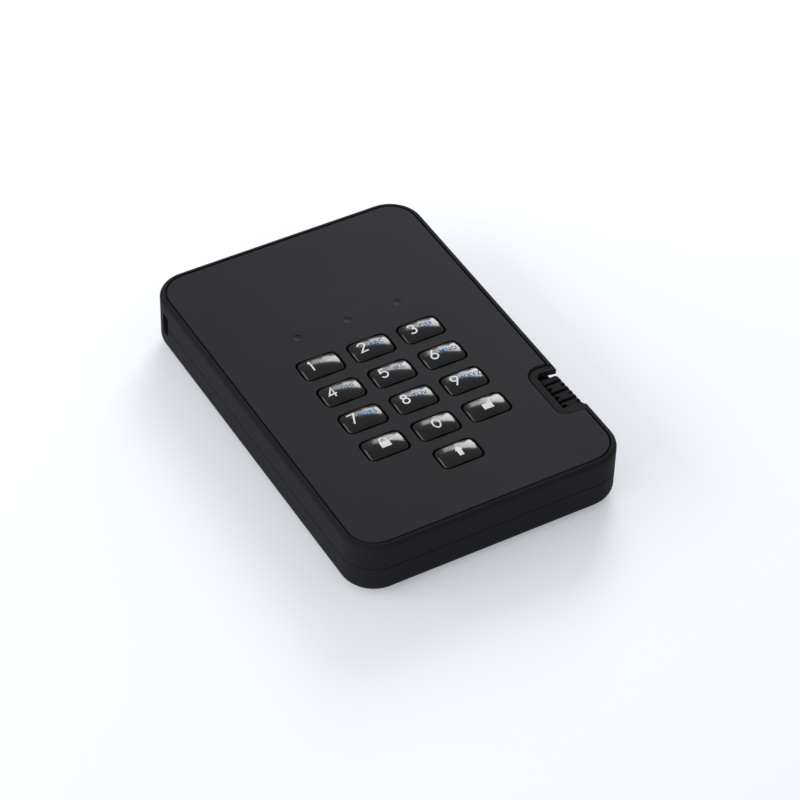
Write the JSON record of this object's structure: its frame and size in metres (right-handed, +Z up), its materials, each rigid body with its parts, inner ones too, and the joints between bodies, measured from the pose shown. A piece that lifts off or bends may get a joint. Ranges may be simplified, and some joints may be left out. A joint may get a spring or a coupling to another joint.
{
  "type": "encrypted external solid state drive",
  "caption": "Flat black portable drive with rounded corners, a keypad that unlocks it on top, status windows, a lock slot, and a built-in plug lead stowed in its side.",
  "frame": {"origin": "on the floor under the middle of the case", "axes": "+X across to the lead's side, +Y towards the far end of the keypad, +Z up out of the key tops"},
  "size_m": [0.084, 0.124, 0.0196],
  "materials": {
    "case_plastic": "soft matt black",
    "panel": "satin dark grey",
    "adhesive": "matt",
    "key_plastic": "gloss black",
    "silicone": "matt grey",
    "smoked_clear": "smoked clear plastic",
    "lamp": "clear",
    "circuit_board": "green solder mask",
    "chip": "matt black",
    "steel": "bare steel",
    "drive_case": "satin",
    "connector": "black",
    "foot_rubber": "matt black",
    "lead_rubber": "matt black",
    "plug_plastic": "satin black",
    "plug_metal": "bright plated",
    "tongue_plastic": "blue",
    "contact_metal": "gold plated"
  },
  "bodies": {
    "case": {"lower_shell": "case_plastic", "upper_shell": "case_plastic", "face_panel": "panel", "panel_adhesive": "adhesive", "dome_sheet": "silicone", "light_pipe_left": "smoked_clear", "light_pipe_middle": "smoked_clear", "light_pipe_right": "smoked_clear", "led_left": "lamp", "led_middle": "lamp", "led_right": "lamp", "main_board": "circuit_board", "ssd_board": "circuit_board", "bridge_chip": "chip", "secure_chip": "chip", "firmware_chip": "chip", "ssd_controller": "chip", "ssd_memory_left": "chip", "ssd_memory_right": "chip", "crystal": "steel", "power_inductor": "chip", "board_screws": "steel", "lock_plate": "steel", "ssd_tray": "drive_case", "ssd_lid": "drive_case", "ssd_connector": "connector", "sata_socket": "connector", "lead_header": "connector", "damper_front_left": "silicone", "damper_front_right": "silicone", "damper_back_left": "silicone", "damper_back_right": "silicone", "foot_front_left": "foot_rubber", "foot_front_right": "foot_rubber", "foot_back_left": "foot_rubber", "foot_back_right": "foot_rubber", "lead_boot": "lead_rubber", "lead_cable": "lead_rubber", "lead_wires": "lead_rubber", "plug_grip": "plug_plastic", "plug_shell": "plug_metal", "plug_tongue": "tongue_plastic", "plug_contacts": "contact_metal"},
    "key_1_body": {"key_1": "key_plastic"},
    "key_2_body": {"key_2": "key_plastic"},
    "key_3_body": {"key_3": "key_plastic"},
    "key_4_body": {"key_4": "key_plastic"},
    "key_5_body": {"key_5": "key_plastic"},
    "key_6_body": {"key_6": "key_plastic"},
    "key_7_body": {"key_7": "key_plastic"},
    "key_8_body": {"key_8": "key_plastic"},
    "key_9_body": {"key_9": "key_plastic"},
    "key_lock_body": {"key_lock": "key_plastic"},
    "key_0_body": {"key_0": "key_plastic"},
    "key_unlock_body": {"key_unlock": "key_plastic"},
    "key_shift_body": {"key_shift": "key_plastic"}
  },
  "joints": [
    {"name": "key_1_press", "type": "slide", "parent": "case", "child": "key_1_body", "axis": [0, 0, -1], "range_m": [0, 0.0007], "stiffness_N_per_m": 1500, "deforming": ["dome_sheet"]},
    {"name": "key_2_press", "type": "slide", "parent": "case", "child": "key_2_body", "axis": [0, 0, -1], "range_m": [0, 0.0007], "stiffness_N_per_m": 1500, "deforming": ["dome_sheet"]},
    {"name": "key_3_press", "type": "slide", "parent": "case", "child": "key_3_body", "axis": [0, 0, -1], "range_m": [0, 0.0007], "stiffness_N_per_m": 1500, "deforming": ["dome_sheet"]},
    {"name": "key_4_press", "type": "slide", "parent": "case", "child": "key_4_body", "axis": [0, 0, -1], "range_m": [0, 0.0007], "stiffness_N_per_m": 1500, "deforming": ["dome_sheet"]},
    {"name": "key_5_press", "type": "slide", "parent": "case", "child": "key_5_body", "axis": [0, 0, -1], "range_m": [0, 0.0007], "stiffness_N_per_m": 1500, "deforming": ["dome_sheet"]},
    {"name": "key_6_press", "type": "slide", "parent": "case", "child": "key_6_body", "axis": [0, 0, -1], "range_m": [0, 0.0007], "stiffness_N_per_m": 1500, "deforming": ["dome_sheet"]},
    {"name": "key_7_press", "type": "slide", "parent": "case", "child": "key_7_body", "axis": [0, 0, -1], "range_m": [0, 0.0007], "stiffness_N_per_m": 1500, "deforming": ["dome_sheet"]},
    {"name": "key_8_press", "type": "slide", "parent": "case", "child": "key_8_body", "axis": [0, 0, -1], "range_m": [0, 0.0007], "stiffness_N_per_m": 1500, "deforming": ["dome_sheet"]},
    {"name": "key_9_press", "type": "slide", "parent": "case", "child": "key_9_body", "axis": [0, 0, -1], "range_m": [0, 0.0007], "stiffness_N_per_m": 1500, "deforming": ["dome_sheet"]},
    {"name": "key_lock_press", "type": "slide", "parent": "case", "child": "key_lock_body", "axis": [0, 0, -1], "range_m": [0, 0.0007], "stiffness_N_per_m": 1500, "deforming": ["dome_sheet"]},
    {"name": "key_0_press", "type": "slide", "parent": "case", "child": "key_0_body", "axis": [0, 0, -1], "range_m": [0, 0.0007], "stiffness_N_per_m": 1500, "deforming": ["dome_sheet"]},
    {"name": "key_unlock_press", "type": "slide", "parent": "case", "child": "key_unlock_body", "axis": [0, 0, -1], "range_m": [0, 0.0007], "stiffness_N_per_m": 1500, "deforming": ["dome_sheet"]},
    {"name": "key_shift_press", "type": "slide", "parent": "case", "child": "key_shift_body", "axis": [0, 0, -1], "range_m": [0, 0.0007], "stiffness_N_per_m": 1500, "deforming": ["dome_sheet"]}
  ]
}
